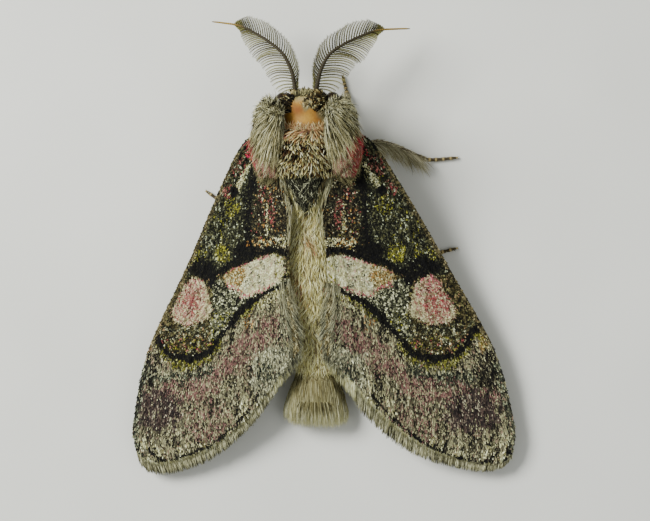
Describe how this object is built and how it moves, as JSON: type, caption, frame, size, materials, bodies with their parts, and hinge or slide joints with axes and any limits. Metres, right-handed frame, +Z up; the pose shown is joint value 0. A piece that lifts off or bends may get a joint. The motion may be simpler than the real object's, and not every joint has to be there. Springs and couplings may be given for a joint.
{
  "type": "moth model",
  "caption": "Life-size still moth with feathered feelers, a furred body and patterned wings laid as a low roof.",
  "frame": {"origin": "on the floor, below the middle of the moth's bounding box", "axes": "+Y towards the head, +X towards the moth's right wing as seen from above, +Z up"},
  "size_m": [0.0204, 0.0239, 0.0058],
  "materials": {
    "tan_fur": "cream-brown hair",
    "grey_brown_fur": "olive-grey hair and long scales",
    "wing_scales": "matt wing scales, dark olive with cream, rose and black markings",
    "pale_wing_scales": "plain grey-brown wing scales",
    "brown_cuticle": "olive-brown feeler cuticle",
    "dark_cornea": "smooth dark compound eye"
  },
  "bodies": {
    "root": {"head": "tan_fur", "eye_left": "dark_cornea", "eye_right": "dark_cornea", "palp_left": "tan_fur", "palp_right": "tan_fur", "antenna_left": "brown_cuticle", "antenna_right": "brown_cuticle", "thorax": "grey_brown_fur", "tegula_left": "grey_brown_fur", "tegula_right": "grey_brown_fur", "abdomen": "tan_fur", "anal_tuft": "tan_fur", "forewing_left": "wing_scales", "forewing_right": "wing_scales", "hindwing_left": "pale_wing_scales", "hindwing_right": "pale_wing_scales", "foreleg_left": "grey_brown_fur", "foreleg_right": "grey_brown_fur", "midleg_left": "grey_brown_fur", "midleg_right": "grey_brown_fur", "hindleg_left": "grey_brown_fur", "hindleg_right": "grey_brown_fur"}
  },
  "joints": []
}
